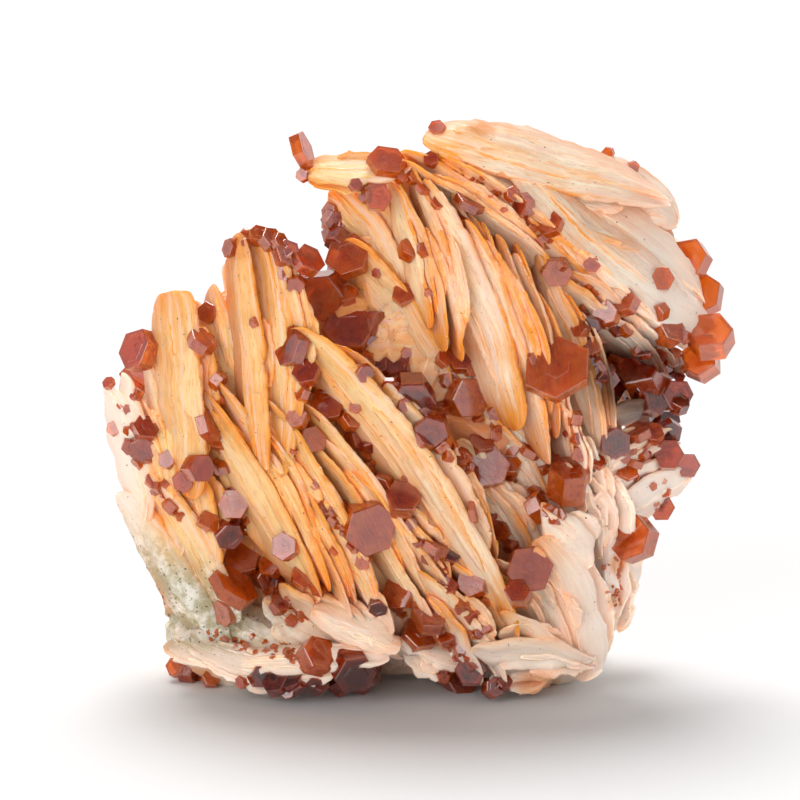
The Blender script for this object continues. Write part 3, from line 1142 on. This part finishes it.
def cast_of(points):
    """How pink-white, how grey and how pale the barite is at these points."""
    columns, rows = squares_of(points)
    pink = np.max([
        np.clip(ramp(columns, 520, 110) * ramp(rows, 390, 130) * 1.3, 0, 1),
        0.8 * ramp(columns, 590, 90) * ramp(rows, 400, -60),
        0.85 * ramp(columns, 158, -30),
        0.8 * ramp(rows, 632, 24),
        0.7 * ramp(rows, 590, 30) * ramp(columns, 440, -60),
    ], axis=0)
    grey = ramp(rows - (columns - 120) * 0.5, 505, 50) * ramp(columns, 330, -100) * ramp(rows, 662, -20)
    pale = 0.85 * ramp(columns, 350, 150) + 0.15 * ramp(columns, 560, 80)
    return np.stack([pink, grey, pale], -1)


def barite_groups():
    """The barite's parts, piece by piece."""
    groups = {"barite_root": [root_part(np.random.default_rng(11))]}
    groups["barite_lumps"] = [lump_part(lump, np.random.default_rng(40 + n)) for n, lump in enumerate(LUMPS)]
    for number, (name, blades) in enumerate(FANS.items()):
        rng = np.random.default_rng(100 + number)
        groups["barite_" + name] = [part for blade in blades for part in blade_parts(blade, rng)]
    return {name: stand_on_floor(parts) for name, parts in groups.items()}


def add_barite(groups, material):
    for name, parts in groups.items():
        piece = add_piece(name, parts, material, BARITE_CREASE)
        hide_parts("barite_matrix")
        points, _ = joined(parts)
        add_attribute(piece.data, "cast", cast_of(points))
        add_attribute(piece.data, "stain", stain_of(points))


# Runs of small tablets that fill the grooves: a path through layout squares, how many, the least and the most
# wide, how far they spread to either side, and the least and the most hue.
RUNS = [
    ((296, 262, 330, 312, 372, 352, 410, 384), 26, 10, 26, 16, 0.2, 0.7),
    ((352, 350, 404, 398, 440, 440, 486, 492, 520, 552), 30, 9, 24, 9, 0.2, 0.8),
    ((318, 392, 360, 452, 404, 512, 452, 586, 486, 640), 26, 8, 20, 7, 0.2, 0.9),
    ((290, 440, 336, 520, 392, 600, 436, 650), 22, 7, 18, 8, 0.3, 0.9),
    ((206, 420, 232, 500, 262, 570, 318, 640), 22, 7, 20, 8, 0.3, 0.9),
    ((430, 162, 470, 182, 520, 215, 560, 262, 606, 300), 24, 5, 14, 6, 0.5, 1),
    ((566, 300, 610, 326, 660, 352, 690, 372), 24, 9, 22, 9, 0.2, 0.7),
    ((584, 350, 620, 372, 660, 398, 684, 420), 44, 12, 30, 20, 0, 0.15),
    ((640, 350, 676, 380, 684, 410), 16, 12, 26, 12, 0, 0.2),
    ((440, 372, 480, 410, 512, 460, 546, 500), 20, 8, 20, 9, 0.3, 0.9),
    ((540, 440, 560, 476, 548, 520), 14, 8, 18, 10, 0.4, 0.9),
    ((330, 206, 338, 236, 344, 262, 330, 286), 16, 10, 26, 9, 0.2, 0.6),
    ((232, 250, 262, 236, 286, 252, 304, 268), 14, 7, 20, 5, 0.3, 0.9),
    ((112, 392, 132, 430, 146, 470, 176, 516), 14, 6, 16, 9, 0.4, 0.9),
    ((600, 440, 640, 452, 680, 462), 16, 6, 16, 8, 0.4, 0.9),
    ((640, 478, 672, 490, 664, 512), 12, 6, 14, 8, 0.5, 1),
    ((396, 596, 430, 622, 470, 664, 496, 690), 20, 8, 20, 9, 0.2, 0.8),
    ((262, 684, 320, 690, 372, 676), 16, 10, 24, 6, 0, 0.4),
    ((436, 682, 470, 692, 500, 690), 16, 10, 24, 6, 0.1, 0.5),
    ((168, 684, 186, 688, 204, 690), 12, 6, 14, 5, 0.7, 1),
    ((212, 640, 250, 650, 306, 664), 36, 4, 11, 9, 0.8, 1),
    ((606, 560, 622, 580, 618, 610), 16, 3, 8, 8, 0.8, 1),
]
REAR_RUNS = [
    ((214, 330, 240, 450, 262, 620), 34, 8, 24, 12, 0.2, 0.9),
    ((296, 270, 330, 440, 360, 640), 34, 8, 26, 12, 0.2, 0.9),
    ((376, 210, 424, 400, 470, 640), 34, 8, 26, 12, 0.2, 0.9),
    ((470, 150, 530, 340, 580, 560), 34, 8, 26, 12, 0.2, 0.9),
    ((560, 160, 620, 280, 670, 420), 26, 8, 24, 12, 0.3, 0.9),
    ((160, 400, 190, 500, 216, 600), 24, 8, 20, 12, 0.3, 0.9),
]


def run_crystals(run, rear, rng):
    """The run's tablets, every way up."""
    squares, count, narrow, wide, spread, *hues = run
    path = np.array(squares, float).reshape(-1, 2)
    made = []
    for _ in range(count):
        place = rng.uniform(0, len(path) - 1)
        low = int(place)
        middle = path[low] + (path[low + 1] - path[low]) * (place - low)
        middle = middle + rng.normal(size=2) * spread / 2
        width = rng.uniform(narrow, wide)
        lean = rng.uniform(0.25, 0.98)
        turn = rng.uniform(0, 2 * math.pi)
        made.append(Crystal(tuple(middle), width, width * rng.uniform(0.25, 0.6),
                            (lean * math.cos(turn), lean * math.sin(turn)), rng.uniform(0, 60),
                            proud=-0.14 * width * GRID / MM, rear=rear, hue=rng.uniform(*hues)))
    return made


def small_crystals(rng):
    """The tablets of the list; one that is given no lean gets one of its own."""
    made = []
    for column, row, wide, thick, hue, *lean in SMALL_CRYSTALS:
        if not lean:
            turn = rng.uniform(0, 2 * math.pi)
            lean = Vector((math.cos(turn), math.sin(turn))) * rng.uniform(0.3, 0.97)
        made.append(Crystal((column, row), wide, thick, tuple(Vector(lean)), rng.uniform(0, 60), hue=hue,
                            proud=-0.2 * thick * GRID / MM))
    return made


# By their squares, the tablets that stand behind the rim of the plate beside them, and the ones that lean
# otherwise than the solids do.
BEHIND_THE_RIM = {(694, 258), (709, 294)}
TURNED = {
    (694, 258): (-0.45, 0.3),
    (709, 294): (-0.32, 0.34),
    (705, 361): (-0.3, 0.35),
    (316, 659): (0.5, 0.42),
    (352, 672): (0.3, -0.5),
    (644, 374): (-0.3, 0.62),
    (606, 386): (0.5, 0.35),
    (670, 332): (0.5, 0.4),
    (626, 303): (-0.5, 0.4),
    (418, 639): (0.4, 0.5),
    (637, 540): (-0.62, 0.2),
}


def hue_of(region, hue, row):
    """A region's hue, but orange above the dark pocket and dark under the base."""
    if region == "dark_pocket" and row < 345:
        return 0.6
    if region == "foot" and row > 665:
        return 0.05
    return hue


def add_region(region, hue, rows, tree, barite_tree, material, rng):
    """One region of the CAD's tablets in fine."""
    parts = []
    for at, wide, thick, lean, *others in [(row[:2], row[2], row[3], row[4:6], *row[6:]) for row in rows]:
        crystal = Crystal(at, wide, thick, lean, *others)._replace(rear=region == "back")
        middle = seat_in_front(crystal, tree, barite_tree)
        turned = crystal._replace(hue=hue_of(region, hue, at[1]), lean=TURNED.get(at, lean))
        parts.append(crystal_part(turned, middle, rng))
    return add_piece(f"tablets_{region}", stand_on_floor(parts), material, TABLET_CREASE)


def add_vanadinite(barite_tree, material):
    """The CAD's tablets, region by region, and then the small ones."""
    rng = np.random.default_rng(7)
    trees = [barite_tree]
    for region, (hue, rows) in CRYSTALS.items():
        names = [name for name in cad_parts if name.startswith(f"vanadinite_{region}_")]
        trees.append(node_tree(names))
        piece = add_region(region, hue, rows, trees[-1], barite_tree, material, rng)
        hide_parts(*names)
    small = small_crystals(rng)
    grooves = [one for run in RUNS for one in run_crystals(run, False, rng)]
    grooves += [one for run in REAR_RUNS for one in run_crystals(run, True, rng)]
    for name, crystals, carriers, share in (("small_tablets", small, trees, SMALL_SHARE),
                                            ("groove_tablets", grooves, trees[:1], GROOVE_SHARE)):
        seats = [(crystal, seat_on(crystal, carriers, share)) for crystal in crystals]
        parts = [crystal_part(crystal, middle, rng) for crystal, middle in seats if middle is not None]
        add_piece(name, stand_on_floor(parts), material, TABLET_CREASE)


def main():
    groups = barite_groups()
    add_barite(groups, barite_material())
    points, quads = joined([part for parts in groups.values() for part in parts])
    add_vanadinite(BVHTree.FromPolygons(points.tolist(), quads.tolist()), vanadinite_material())
    add_studio()


main()
